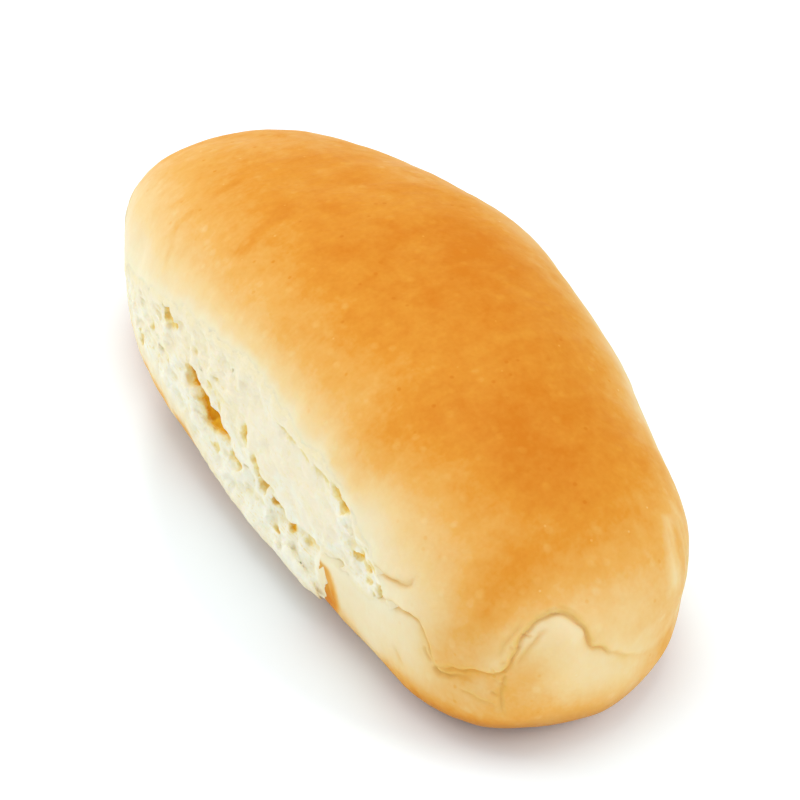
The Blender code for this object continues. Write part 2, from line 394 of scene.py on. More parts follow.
# Each crease: line, then lip height, lip width, groove depth, groove width and overhang in
# millimetres, then the shares of its length over which it fades in and out at its ends
CREASES = (
    (FOLD, 0.6, 5, 0.38, 0.45, 0.05, 0.05, 0.15),
    (MID_FOLD, 0.15, 1.2, 0.42, 0.55, 0.05, 0.15, 0.15),
    (SPOT_CREASE, 0.1, 1.2, 0.30, 0.8, 0, 0.3, 0.3),
    (HEM, 0.12, 0.8, 0.22, 0.30, 0, 0.25, 0.35),
    (UPPER_CRACK, 0.3, 2.4, 0.42, 0.45, 0.1, 0.1, 0.45),
    (LOWER_CRACK, 0.25, 1.4, 0.6, 0.5, 0.1, 0.15, 0.4),
    (JOINING_CRACK, 0.2, 1.2, 0.3, 0.35, 0, 0.3, 0.2),
    (INNER_PUCKER, 0.14, 0.9, 0.28, 0.38, 0, 0.2, 0.3),
    (OUTER_PUCKER, 0.14, 0.9, 0.24, 0.38, 0, 0.3, 0.4),
    (DOWN_CREASE, 0.22, 1.6, 0.28, 0.42, 0, 0.1, 0.4),
    (SLANT_CREASE, 0.2, 1.4, 0.22, 0.38, 0, 0.25, 0.25),
    (LOW_CREASE, 0.2, 1.4, 0.17, 0.5, 0, 0.4, 0.4),
    (CRUST_EDGE, 0.2, 1.2, 0.25, 0.45, 0, 0.2, 0.2),
    (RIDGE, 0.22, 0.9, 0, 0.6, 0, 0.3, 0.4),
    (OUTER_RIDGE, 0.28, 1.2, 0, 0.6, 0, 0.3, 0.4),
    (SLIM_FOLD, 0.42, 3.6, 0.3, 0.55, 0.05, 0.15, 0.3),
    (SLIM_CREASE, 0.4, 3, 0.25, 0.5, 0, 0.05, 0.4),
) + tuple((pleat, 0.14, 0.7, 0.26, 0.30, 0, 0.35, 0.35) for pleat in SEAM_PLEATS)
CREASE_REACH = 7 * MM


def crease_moves(points, normals):
    """How far each place moves for the folds and cracks, and how deep it lies in one, as painted
    shade.
    """
    moves = np.zeros_like(points)
    crease_shade = np.zeros(len(points))
    for line, lip, lip_width, groove, groove_width, overhang, fade_in, fade_out in CREASES:
        signed, across, share = line_distance(points, normals, line, CREASE_REACH)
        fade = plateau(share, 0, fade_in, 1 - fade_out, 1)
        signed = signed / MM + 0.4 * noise(points, 2.1, 12)
        wander = 1 + 0.35 * noise(points, 2.5, 3)
        upper = blend(-0.35, 0.35, signed)
        gap = np.abs(signed)
        # The sheet swells on its upper side, and dips less on its lower side
        rise = upper * lip * np.exp(-(gap / lip_width) ** 1.3)
        rise -= (1 - upper) * 0.4 * lip * np.exp(-gap / (0.6 * lip_width))
        height = fade * (rise - groove * wander * bell(signed, groove_width))
        slide = -fade * overhang * wander * upper * bell(gap, 1.3)
        moves += (height[:, None] * normals + slide[:, None] * across) * MM
        # Painted shade: the grooves are tinted darker, the deeper the groove the more
        tint = min(1, 2.4 * groove) * bell(signed, 1.5 * groove_width)
        crease_shade = np.maximum(crease_shade, fade * tint)
    return moves, crease_shade


def refine_near_creases(mesh, reach, rounds):
    """Split the mesh finer along the folds, so that they stay crisp."""
    for _ in range(rounds):
        unit = np.array([vertex.co for vertex in mesh.verts])
        places = unit_to_loaf(unit)
        near = np.zeros(len(places), bool)
        for crease in CREASES:
            path = smooth_line(crease[0])
            inside = box_round(places, path, reach)
            gaps = np.linalg.norm(places[inside, None] - path[None], axis=2).min(axis=1)
            near[inside[gaps < reach]] = True
        mesh.verts.ensure_lookup_table()
        ends = np.array([[vertex.index for vertex in edge.verts] for edge in mesh.edges])
        lengths = np.linalg.norm(places[ends[:, 0]] - places[ends[:, 1]], axis=1)
        chosen = near[ends].all(axis=1) & (lengths > FINEST_SPLIT)
        edges = [edge for edge, split in zip(mesh.edges, chosen) if split]
        bmesh.ops.subdivide_edges(mesh, edges=edges, cuts=1, use_grid_fill=True)
        mesh.verts.index_update()
        reach *= 0.55


def unit_to_loaf(unit):
    """Where points of a unit ball with its poles on X lie on the loaf."""
    along = np.clip(unit[:, 0] / np.maximum(np.linalg.norm(unit, axis=1), 1e-9), -1, 1)
    angle = np.arctan2(unit[:, 2], unit[:, 1])
    return loaf_points(along, spread(angle)) + SHIFT


# ---- the browned skin


def torn_depth(points, side):
    """How far inside a torn area each place of the loaf is, with a ragged edge, in metres."""
    outline = TORN_OUTLINE if side < 0 else PLAIN_TORN_OUTLINE
    outline = smooth_line(outline + outline[:1], 6)[:-1]
    x, z = outline.T
    gap = distance_to(points, np.stack([x, flank_y(x, z, side), z], axis=1))
    on_side = (points[..., 1] - END_BEND * (points[..., 0] / (LENGTH / 2)) ** 2) * side > 0
    inside = within(points[..., 0], points[..., 2], outline) & on_side
    ragged = 0.75 * noise(points, (2.2, 9, 9), 5) + 0.45 * noise(points, 4, 6)
    return np.where(inside, gap, -gap) + MM * (ragged + 0.3 * noise(points, 1.3, 7))


def dough_rise(points):
    """The unevenness of the dough at places of the smooth loaf, in metres."""
    rise = np.zeros(points.shape[:-1])
    for *place, reach, height in BULGES:
        rise += height * MM * spot(points, place, reach)
    rise += MM * (0.3 * noise(points, 17, 1) + 0.12 * noise(points, 6, 2))
    return rise + MM * (0.06 * noise(points, (1.7, 8, 8), 4) + 0.03 * noise(points, 1.8, 7))


# How browned the skin is in different places, from 0 pale to 1 deep golden brown
FLANK_BROWN = 0.09
TOP_BROWN = 0.73
WEDGE_BROWN = 0.97
RIM_BROWN = 0.92
PALE_EDGE_SHARE = 0.3
# The end of the wedge of crust beside the lower flap of crumb: its x at these heights
WEDGE_HEIGHTS = (5, 6.3, 7.4, 10, 12, 14.6)
WEDGE_ENDS = (31.9, 33.1, 33.7, 33.7, 33.2, 31.6)
# The middle of the blunt end, round which its fold runs: x and y in millimetres
END_MIDDLE = (45, -4)


def turn_round_end(x, y):
    """The direction of a place from the middle of the blunt end, in degrees."""
    return np.degrees(np.arctan2(y - END_MIDDLE[1], x - END_MIDDLE[0]))


def sheet_under_fold(x, y, z, uneven):
    """How far each place is under the blunt end's fold, from 0 to 1, and how golden it is there."""
    fold_x, fold_y, fold_z = np.array(FOLD).T
    fold_turn = np.maximum.accumulate(turn_round_end(fold_x, fold_y))
    fold_height = np.interp(turn_round_end(x, y), fold_turn, fold_z)
    under_fold = blend(44, 54, x) * (1 - blend(-0.8, 1, z - fold_height))
    # Cream, with gold lower down and beside the knob
    gold = 0.09 + 0.08 * blend(52, 64, x) + 0.24 * blend(14, 6, z)
    gold += 0.04 * blend(58, 68, x) * blend(-8, -17, y) * blend(23, 16, z) + 0.02 * uneven
    return under_fold, gold


def base_rim(points):
    """How far each place is in the base's browned rim, from 0 to 1, and how much paler it is."""
    x, y, z = points.T / MM
    torn_side = y < 0
    under_torn = blend(-10, -18, x) * blend(-66, -56, x) * torn_side
    rim_rise = 4.2 * under_torn + 1.6 * blend(40, 52, x) * blend(-10, -20, y)
    rim_rise += 2.4 * plateau(x, 32.5, 35, 38, 46) * torn_side
    rim = 1 - blend(1.8, 7.4, z + 0.9 * noise(points, 9, 9) - rim_rise)
    paler = 0.34 * under_torn + 0.5 * plateau(x, 31, 35, 42, 50) * torn_side
    paler += 0.42 * bell(x + 27.2, 1.5) * torn_side
    return rim, paler


def browning(points, normals, torn_gap, plain_gap):
    """How browned each place of the skin is, and where crust shows by the crumb; gaps in metres."""
    x, y, z = points.T / MM
    uneven = 0.7 * noise(points, (3, 8, 8), 31) + 0.5 * noise(points, 2.5, 32)
    # Where the dough faced the oven's heat it browned; the flanks and ends stayed pale
    brown = FLANK_BROWN + TOP_BROWN * np.maximum(normals[:, 2], 0) ** 1.6
    under_fold, gold = sheet_under_fold(x, y, z, uneven)
    brown += under_fold * (gold - brown)
    for *place, reach, percent in BROWN_PATCHES:
        brown += percent / 100 * spot(points, place, reach)
    # Browner and paler streaks; the pale ones on the ridges are partly painted highlight
    for line, width, change in BROWN_AND_HIGHLIGHT_STREAKS:
        gap = distance_to(points, smooth_line(line, 16)) / MM
        brown += change * np.exp(-(gap / width + 0.25 * uneven) ** 2)
    # A pale band of skin borders each torn area, and the browning starts softly past it
    for edge_gap, full in ((torn_gap, 10), (plain_gap, 9)):
        past_edge = blend(-2.5, full, edge_gap / MM + 0.9 * uneven)
        brown *= PALE_EDGE_SHARE + (1 - PALE_EDGE_SHARE) * past_edge
    # Browned crust shows as a wedge where the lower flap of crumb ends
    wedge_end = np.interp(z, WEDGE_HEIGHTS, WEDGE_ENDS)
    crust = blend(1.6, -0.8, x - wedge_end + 0.4 * uneven) * blend(26, 28.5, x)
    crust *= (1 - blend(13.6, 15.2, z)) * (y < 0)
    brown += (WEDGE_BROWN - 0.34 * blend(7, 13, z) + 0.08 * uneven - brown) * crust
    rim, paler = base_rim(points)
    # The rim is browned; its extra darkening towards the blunt end is painted contact shade
    brown += (RIM_BROWN + 0.1 * blend(48, 60, x) - paler - brown) * rim
    return np.clip(brown, 0, 1), crust


CRUMB_SINK = 4.5 * MM  # how far the skin drops behind the crumb


def make_skin():
    """The whole bun's skin as one closed body, sunk where crumb shows."""
    mesh = bmesh.new()
    bmesh.ops.create_uvsphere(mesh, u_segments=POINTS_ROUND, v_segments=RINGS, radius=1)
    for vertex in mesh.verts:
        vertex.co = (vertex.co.z, vertex.co.x, vertex.co.y)
    refine_near_creases(mesh, 2.2 * MM, 2)
    data = bpy.data.meshes.new("skin")
    mesh.to_mesh(data)
    mesh.free()
    skin = new_object("skin", data)

    base = unit_to_loaf(read_vectors(data.vertices, "co"))
    write_points(data, base)
    normals = read_vectors(data.vertex_normals, "vector")
    rise = dough_rise(base)
    lifted = blend(0, 1.5 * MM, base[:, 2])
    moves, crease_shade = crease_moves(base, normals)
    wide_torn, plain_torn = torn_depth(base, -1), torn_depth(base, 1)
    torn = np.maximum(wide_torn, plain_torn)
    sunk = blend(0.6 * MM, 2.4 * MM, torn)
    brown, crust = browning(base, normals, -wide_torn, -plain_torn)

    points = base + (rise * lifted - CRUMB_SINK * sunk)[:, None] * normals
    points += lifted[:, None] * moves
    points[:, 2] = np.maximum(points[:, 2], 0)
    write_points(data, points)
    data.shade_smooth()
    pale = blend(-2.6 * MM, 0.2 * MM, torn) * (1 - crust)
    # Browned underside reaching up the foot: partly the tray-baked brown, partly painted contact
    # shade near the floor
    under = blend(-0.25, -0.8, normals[:, 2])
    set_masks(data, browning=brown, crease=crease_shade, torn=pale, base=under)
    return skin


# ---- the torn crumb

# Hollows in the crumb of the wide torn side: x and z place, half length, half height, slope in
# degrees, and depth
HOLLOWS = (
    (-19.6, 20, 1.7, 2, -30, 1.8), (-18.1, 19.8, 1.8, 2.3, -35, 2),
    (-16.5, 18.9, 1.5, 1.5, -35, 1.8), (-15.1, 17.9, 1.6, 1.5, -35, 1.8),
    (-13.8, 17, 1.9, 2.2, -30, 2.3), (-12.3, 16.4, 2.2, 3, -25, 2.9),
    (-10.6, 15.8, 1.9, 2.4, -30, 2.5), (-8.8, 15.2, 1.5, 1.3, -35, 1.7),
    (-6.8, 14.9, 1.3, 0.8, -20, 1.3), (-12, 22.6, 1.2, 0.5, -25, 0.5),
    (-10, 21.6, 1.1, 0.5, -35, 0.5), (-8.2, 20.2, 1.1, 0.5, -45, 0.5),
    (-3.7, 12.9, 1.3, 0.9, 10, 0.7), (-1.3, 12.3, 1.1, 0.8, 30, 0.6),
    (6.8, 14.2, 1.7, 1.7, 40, 1.1), (5.9, 16.5, 0.9, 1.5, -20, 0.7),
    (11.3, 13.6, 0.9, 0.7, -20, 0.6), (14, 13.2, 1.7, 0.8, -20, 0.8),
    (16.4, 12.9, 2, 1.1, -10, 1.1), (19.8, 13, 1, 0.7, 10, 0.5), (23, 13.8, 1.8, 1.3, 15, 0.8),
    (25.6, 14.4, 1.2, 0.8, 10, 0.5), (1.4, 21.6, 0.8, 1.9, -20, 0.8), (2, 19.9, 0.7, 1.3, -20, 0.6),
    (4.9, 18.3, 0.8, 1.4, -25, 0.6), (-28, 25.9, 2.4, 1.6, -15, 0.8),
    (-25.6, 25.8, 1.3, 0.9, 0, 0.5), (-32.8, 24.6, 1.6, 0.6, 20, 0.4),
    (-36.6, 18.2, 1.6, 0.8, -40, 0.5), (-41.7, 12.5, 1.8, 1.1, 15, 0.7),
    (-29.7, 17, 1.6, 0.7, -20, 0.5), (-9, 11.4, 1.3, 0.7, 0, 0.5), (13.2, 9.6, 1.5, 0.7, -10, 0.4),
    (14.5, 29.5, 3.2, 0.6, -2, 0.45), (20, 29.1, 2.8, 0.7, -3, 0.5),
    (26.4, 28.9, 2.4, 0.7, -3, 0.6), (31.2, 28.9, 2.1, 1.1, -10, 0.9),
    (34.2, 28.4, 1.6, 1.6, -30, 1.2), (38.9, 21.3, 1.5, 0.8, 0, 0.6),
    (41.5, 21.9, 2.2, 1.1, -20, 0.8), (44.3, 22.7, 1.6, 0.8, -20, 0.55),
    (46.6, 19.7, 0.9, 1, 20, 0.8), (47.7, 18.7, 1.1, 1.2, 20, 1.1), (42.8, 19.5, 1.1, 0.7, 20, 0.5),
    (37.4, 22.9, 1.1, 0.8, 30, 0.5), (34.4, 17.2, 1.4, 0.6, 10, 0.5),
)
# The valley where the upper crumb and the lower flap part, and the upper edge of a smooth film of
# crumb, as (x, z) places
VALLEY = (
    (-30, 23.5), (-20, 20.4), (-12, 17.2), (-6, 14.8), (2, 13.6), (9, 14), (17, 12.7), (26, 14.6),
    (36, 19), (44, 21.6),
)
FILM_EDGE = ((8, 29.6), (12, 30.2), (21.5, 30.1), (29.2, 30), (34.4, 29.6))
# The shreds at the end of the lower flap of crumb: start and tip as (x, depth, z), and radius
SHREDS = (
    ((15, -0.9, 6.4), (25.2, -1, 4.4), 1.7), ((19, -0.8, 8.2), (28.8, -1, 6.4), 1.7),
    ((10, -1, 5.4), (20, -1.3, 3.6), 1.1), ((-4, -0.8, 6), (7, -1.2, 3.8), 1),
    ((23, -0.6, 11.4), (28.4, -0.9, 10.4), 0.9), ((22, -0.7, 5), (27.2, -1, 3.4), 0.8),
)


SMALL_HOLLOWS = 60
CRUMB_DEPTHS = (-3.5 * MM, 6 * MM)


def along_axis(axis, part):
    """An index that takes part of one axis of a grid and all of the others."""
    index = [slice(None)] * 3
    index[axis] = part
    return tuple(index)


def grid_places(values, spans=(slice(None),) * 3):
    """The places of a part of a grid, from its values along x, depth and z."""
    parts = (numbers[span] for numbers, span in zip(values, spans))
    return np.stack(np.meshgrid(*parts, indexing="ij"), axis=-1)


def window(grid, low, high):
    """The slices of a grid between two corners."""
    return tuple(slice(*np.searchsorted(values, ends)) for values, *ends in zip(grid, low, high))


def surface_net(field):
    """Points and faces of the zero surface of a grid of numbers (naive surface nets)."""
    solid = field > 0
    cells = tuple(size - 1 for size in field.shape)
    sums = np.zeros(cells + (3,))
    counts = np.zeros(cells)
    crossings = []
    for axis in range(3):
        start, end = along_axis(axis, slice(0, -1)), along_axis(axis, slice(1, None))
        first, second = field[start], field[end]
        crossed = np.argwhere(solid[start] != solid[end])
        index = tuple(crossed.T)
        share = first[index] / (first[index] - second[index])
        place = crossed.astype(float)
        place[:, axis] += share
        others = [(axis + 1) % 3, (axis + 2) % 3]
        crossings.append((crossed, solid[start][index], others))
        for back in product((0, 1), repeat=2):
            cell = crossed.copy()
            cell[:, others] -= back
            inside = np.all((cell >= 0) & (cell < cells), axis=1)
            target = tuple(cell[inside].T)
            np.add.at(sums, target, place[inside])
            np.add.at(counts, target, 1)
    used = counts > 0
    number = np.full(cells, -1)
    number[used] = np.arange(used.sum())
    points = sums[used] / counts[used][:, None]
    faces = []
    for crossed, starts_solid, others in crossings:
        pair = crossed[:, others]
        inside = np.all((pair > 0) & (pair < np.array(cells)[others]), axis=1)
        crossed, starts_solid = crossed[inside], starts_solid[inside]
        ring = []
        for back in ((0, 0), (1, 0), (1, 1), (0, 1)):
            cell = crossed.copy()
            cell[:, others] -= back
            ring.append(number[tuple(cell.T)])
        ring = np.stack(ring, axis=1)
        ring[~starts_solid] = ring[~starts_solid, ::-1]
        faces.append(ring)
    return points, np.vstack(faces)


def connected(mask, seed):
    """The part of a grid mask that hangs together with the seed."""
    reached = seed & mask
    count = -1
    while reached.sum() != count:
        count = reached.sum()
        for axis in range(3):
            for step in (1, -1):
                moved = np.roll(reached, step, axis)
                moved[along_axis(axis, 0 if step == 1 else -1)] = False
                reached |= moved & mask
    return reached


def carve(field, grid, centre, axes, tilt):
    """Take an ellipsoid hollow with these half sizes out of the field; tilt turns it in x and z."""
    reach = 1.5 * max(axes)
    spans = window(grid, np.array(centre) - reach, np.array(centre) + reach)
    if min(span.stop - span.start for span in spans) < 2:
        return
    places = grid_places(grid, spans)
    x, across, z = np.moveaxis(places - np.array(centre), -1, 0)
    cos, sin = math.cos(tilt), math.sin(tilt)
    turned = ((x * cos + z * sin) / axes[0], across / axes[1], (z * cos - x * sin) / axes[2])
    far = np.linalg.norm(turned, axis=0)
    smallest = min(axes)
    ragged = min(0.55 * smallest, 0.6 * MM) * noise(places, (1.9, 1.3, 1.1), 41)
    wall = (far - 1) * smallest + ragged
    # A smooth minimum, so that the rim of the hollow is rounded
    soft = 0.45 * smallest
    share = np.clip(0.5 + 0.5 * (wall - field[spans]) / soft, 0, 1)
    field[spans] = share * field[spans] + (1 - share) * wall - soft * share * (1 - share)


def add_strand(field, grid, start, end, radius):
    """Add a thin, flat shred of crumb that tapers from its start to its tip."""
    margin = 1.5 * radius
    spans = window(grid, np.minimum(start, end) - margin, np.maximum(start, end) + margin)
    places = grid_places(grid, spans)
    run = end - start
    share = np.clip(np.sum((places - start) * run, axis=-1) / np.sum(run * run), 0, 1)
    gap = np.linalg.norm((places - start - share[..., None] * run) * (1, 2.2, 1), axis=-1)
    uneven = 0.4 * radius * noise(places, (3, 0.9, 0.9), 51)
    field[spans] = np.maximum(field[spans], radius * (1 - 0.8 * share ** 2) + uneven - gap)


def crumb_field(side, grid, seed):
    """The crumb of one torn side as numbers above zero where it is solid, over x, depth and z."""
    xs, _, zs = grid
    x, z = np.meshgrid(xs, zs, indexing="ij")
    surface = flank_y(x, z, side)
    inside = torn_depth(np.stack([x, surface, z], axis=-1), side) / MM
    slope_x, slope_z = np.gradient(surface, xs, zs)
    upright = 1 / np.sqrt(1 + slope_x ** 2 + slope_z ** 2)
    x_mm, z_mm = x / MM, z / MM

    # The crumb laps over the skin's edge, is a little hollow inside, and ends under the skin
    recess = 0.75 * blend(0.3, 5, inside) - 0.03 * blend(-0.6, 0.4, inside)
    recess += 3.4 * (1 - blend(-6, -0.3, inside))
    smooth = np.zeros_like(x)
    if side < 0:
        valley = np.interp(x_mm, *np.array(VALLEY).T)
        film_edge = np.interp(x_mm, *np.array(FILM_EDGE).T)
        recess += 0.6 * plateau(x_mm, -34, -16, 36, 46) * bell(z_mm - valley, 2)
        smooth = blend(0, 5, z_mm - valley) * plateau(x_mm, -6, 5, 31, 36)
        film = smooth * (1 - blend(-0.5, 0.3, z_mm - film_edge))
        recess += 0.45 * film * blend(-7, -1, z_mm - film_edge) - 0.3 * film
        flap = plateau(x_mm, -24, 8, 24, 29.3)
        recess -= 0.4 * flap * blend(0, 4, valley - z_mm)
        recess -= 1.3 * flap * bell(z_mm - 6.4, 2.6) * blend(3.6, 5, z_mm)

    places = grid_places(grid)
    lumps = 0.65 * noise(places, (5.5, 4.5, 3.8), seed)
    shreds = 0.6 * noise(places, (3, 1.8, 1.6), seed + 1)
    fibres = 0.35 * np.abs(noise(places, (3.6, 1.1, 1), seed + 2))
    fluff = 0.2 * noise(places, (1.2, 0.7, 0.6), seed + 3)
    rough = (0.03 + 0.97 * blend(0, 4, inside)) * (1 - 0.6 * smooth)
    level = recess[:, None, :] + rough[:, None, :] * (lumps + shreds + fibres + fluff)
    field = places[..., 1] * upright[:, None, :] - level * MM

    whole = field.copy()
    random = np.random.default_rng(seed)
    inner = np.argwhere((inside > 1) & ((z_mm > 10) | (x_mm < 4) | (side > 0)))
    for i, k in inner[random.integers(0, len(inner), SMALL_HOLLOWS)]:
        size = (0.2 + 0.35 * random.random() ** 3) * (1 - 0.5 * smooth[i, k]) * MM
        depth = (recess[i, k] * MM + random.uniform(0, 0.5) * size) / upright[i, k]
        axes = (size * random.uniform(1, 2.6), size * random.uniform(0.8, 1.2), size)
        carve(field, grid, (xs[i], depth, zs[k]), axes, random.normal(-0.25, 0.35))
    if side < 0:
        for px, pz, half_length, half_height, tilt, depth in HOLLOWS:
            i, k = np.searchsorted(xs, px * MM), np.searchsorted(zs, pz * MM)
            centre = (px * MM, (recess[i, k] / upright[i, k] + 0.1) * MM, pz * MM)
            axes = (half_length * MM, depth * MM, half_height * MM)
            carve(field, grid, centre, axes, math.radians(tilt))
        for start, tip, radius in SHREDS:
            add_strand(field, grid, np.array(start) * MM, np.array(tip) * MM, radius * MM)
    return field, whole, recess * MM, upright, inside


def make_crumb(name, side, x_range, z_range, seed):
    """The torn crumb of one side, as a sheet that dives under the skin all round."""
    grid = [np.arange(*span, CRUMB_STEP) for span in (x_range, CRUMB_DEPTHS, z_range)]
    field, whole, recess, upright, inside = crumb_field(side, grid, seed)

    # Bits that hang loose and bubbles that open nowhere are left out
    deep, open_air = np.zeros((2, *field.shape), bool)
    deep[:, -1, :] = True
    open_air[:, 0, :] = True
    solid = connected(field > 0, deep)
    air = connected(~solid, open_air)
    tiny = 0.05 * CRUMB_STEP
    field = np.where(air, np.minimum(field, -tiny), np.maximum(field, tiny))

    points, faces = surface_net(field)
    x, depth, z = (values[0] + at * CRUMB_STEP for values, at in zip(grid, points.T))
    places = np.stack([x, flank_y(x, z, side), z], axis=-1)
    step = 0.2 * MM
    slope_x = (flank_y(x + step, z, side) - flank_y(x - step, z, side)) / (2 * step)
    slope_z = (flank_y(x, z + step, side) - flank_y(x, z - step, side)) / (2 * step)
    outward = side * np.stack([-slope_x, np.ones(len(x)), -slope_z], axis=1)
    outward /= np.linalg.norm(outward, axis=1, keepdims=True)
    rise = dough_rise(places)
    places[:, 1] -= side * depth
    places += rise[:, None] * outward
    i, j, k = np.round(points).astype(int).T
    hollow = (depth * upright[i, k] - recess[i, k]) / MM
    if side > 0:
        faces = faces[:, ::-1]
    shown = np.all((inside[i, k][faces] > -2.6) | (hollow[faces] < -1), axis=1)
    data = bpy.data.meshes.new(name)
    data.from_pydata(places, [], faces[shown])
    data.validate()
    data.shade_smooth()
    set_masks(data, hollow=hollow, pit=whole[i, j, k] / MM, inside=inside[i, k])
    return new_object(name, data)


# ---- materials


def plug(tree, node, inputs):
    """Set or link the inputs of a node."""
    for name, value in inputs.items():
        if isinstance(value, bpy.types.NodeSocket):
            tree.links.new(value, node.inputs[name])
        else:
            node.inputs[name].default_value = value


def add_node(tree, kind, inputs=None, **settings):
    """Add a node, set its options, and plug its inputs."""
    made = tree.nodes.new(kind)
    for name, value in settings.items():
        setattr(made, name, value)
    plug(tree, made, inputs or {})
    return made


def mask(tree, name):
    """The number that a vertex mask holds."""
    return add_node(tree, "ShaderNodeAttribute", attribute_name=name).outputs["Fac"]


def object_place(tree, **changes):
    """The place that is being shaded, in the object's axes or in changed ones."""
    place = add_node(tree, "ShaderNodeTexCoord").outputs["Object"]
    if not changes:
        return place
    inputs = {"Vector": place, **changes}
    return add_node(tree, "ShaderNodeMapping", inputs, vector_type="TEXTURE").outputs["Vector"]


def pattern(tree, size, detail=2, **changes):
    """Cloudy noise with blobs of about this size."""
    return add_node(tree, "ShaderNodeTexNoise", {
        "Vector": object_place(tree, **changes), "Scale": 1 / size, "Detail": detail,
        "Roughness": 0.5}).outputs["Fac"]


def maths(tree, operation, first, second=0, third=0):
    """The result of a Math node."""
    inputs = {0: first, 1: second, 2: third}
    return add_node(tree, "ShaderNodeMath", inputs, operation=operation).outputs[0]


def remap(tree, value, low, high, to_low=0, to_high=1):
    """A smooth step from one range to another."""
    return add_node(tree, "ShaderNodeMapRange", {
        "Value": value, "From Min": low, "From Max": high, "To Min": to_low, "To Max": to_high},
        interpolation_type="SMOOTHSTEP").outputs["Result"]


def mix(tree, share, first, second):
    """A mix of two colours."""
    inputs = {0: share}
    for socket, colour in ((6, first), (7, second)):
        inputs[socket] = colour if isinstance(colour, bpy.types.NodeSocket) else (*colour, 1)
    return add_node(tree, "ShaderNodeMix", inputs, data_type="RGBA").outputs[2]


def ramp(tree, value, stops):
    """A colour ramp with (place, colour) stops."""
    made = add_node(tree, "ShaderNodeValToRGB", {"Fac": value})
    elements = made.color_ramp.elements
    while len(elements) < len(stops):
        elements.new(0.5)
    for element, (place, colour) in zip(elements, stops):
        element.position = place
        element.color = (*colour, 1)
    return made.outputs["Color"]


def bump(tree, height, distance):
    """A normal that is bumped at half strength."""
    inputs = {"Height": height, "Distance": distance, "Strength": 0.5}
    return add_node(tree, "ShaderNodeBump", inputs).outputs["Normal"]


def new_material(name):
    """A material, its node tree and its shader."""
    material = bpy.data.materials.new(name)
    material.use_nodes = True
    tree = material.node_tree
    return material, tree, tree.nodes["Principled BSDF"]


PALE_SKIN = (0.955, 0.83, 0.565)
# The skin's colour as it browns
SKIN_TONES = (
    (0, PALE_SKIN), (0.25, (0.92, 0.66, 0.30)), (0.5, (0.87, 0.46, 0.105)),
    (0.75, (0.81, 0.33, 0.034)), (1, (0.73, 0.23, 0.012)),
)
# Painted shade for the grooves of the folds and cracks
CREASE_SHADE_TINT = (0.81, 0.48, 0.10)
# Brown of the underside, also used as painted contact shade on the lower foot
BASE_BROWN_AND_SHADE = (0.56, 0.27, 0.075)
CRUMB_WHITE = (0.97, 0.92, 0.755)
CRUMB_CREAM = (0.965, 0.845, 0.625)
# Painted shade for the crumb's dips
CRUMB_PAINTED_SHADE = (0.93, 0.79, 0.40)
PIT_SHADE_TAN = (0.91, 0.65, 0.19)
PIT_SHADE_DEEP = (0.88, 0.47, 0.025)
# Painted shade and warm bounced light in the pits: the crumb's colour between two depths of a pit,
# in millimetres
PIT_SHADE_TONES = ((0, 0.4, CRUMB_PAINTED_SHADE), (0.4, 0.85, PIT_SHADE_TAN), (0.8, 1.3, PIT_SHADE_DEEP))
STROKE_SLANT = math.radians(11)  # the strokes of the stretched skin run a little askew


def specks(tree, spacing, size, left_out):
    """Small round specks, left out in a share of the cells of a scattered pattern."""
    inputs = {"Vector": object_place(tree), "Scale": 1 / spacing}
    cells = add_node(tree, "ShaderNodeTexVoronoi", inputs).outputs
    lots = add_node(tree, "ShaderNodeSeparateColor", {"Color": cells["Color"]}).outputs
    speck = remap(tree, cells["Distance"], size, 0.4 * size)
    return maths(tree, "MULTIPLY", speck, remap(tree, lots["Red"], left_out, left_out + 0.02))


def skin_material():
    """Soft browned skin: cream where pale, golden on top, with fine mottling and wrinkles."""
    material, tree, shader = new_material("bun_skin")
    blotches = pattern(tree, 9 * MM)
    mottle = pattern(tree, 2.4 * MM)
    strokes = pattern(tree, 1.9 * MM, Rotation=(0, 0, STROKE_SLANT), Scale=(1, 3, 3))
    grain = pattern(tree, 0.8 * MM, 1)
    brown = mask(tree, "browning")
    blisters = specks(tree, 3.4 * MM, 0.30, 0.45)
    pale_specks = specks(tree, 3.6 * MM, 0.085, 0.7)
    dark_specks = specks(tree, 3.1 * MM, 0.16, 0.66)
    uneven = -0.44  # half of what the clouds add
    for part, amount in (
            (blotches, 0.36), (mottle, 0.24), (strokes, 0.14), (grain, 0.14),
            (blisters, -0.08), (pale_specks, -0.22), (dark_specks, 0.16)):
        uneven = maths(tree, "MULTIPLY_ADD", part, amount, uneven)
    share = maths(tree, "MULTIPLY", uneven, remap(tree, brown, 0.15, 0.75, 0.25, 1))
    colour = ramp(tree, maths(tree, "ADD", brown, share), SKIN_TONES)
    colour = mix(tree, mask(tree, "torn"), colour, PALE_SKIN)
    # Painted shade in the grooves of the folds; the browned underside also carries painted contact
    # shade
    for name, amount, tint in (("crease", 0.72, CREASE_SHADE_TINT), ("base", 0.8, BASE_BROWN_AND_SHADE)):
        colour = mix(tree, maths(tree, "MULTIPLY", mask(tree, name), amount), colour, tint)
    height = maths(tree, "MULTIPLY_ADD", grain, 0.5, maths(tree, "ADD", mottle, strokes))
    height = maths(tree, "MULTIPLY_ADD", blisters, 0.5, height)
    plug(tree, shader, {
        "Base Color": colour,
        "Roughness": remap(tree, blotches, 0.3, 0.7, 0.46, 0.6),
        "Normal": bump(tree, height, 0.15 * MM),
        "Specular IOR Level": 0.07,
        "Subsurface Weight": 0.3,
        "Subsurface Radius": (1, 0.55, 0.25),
        "Subsurface Scale": 2.5 * MM,
    })
    return material


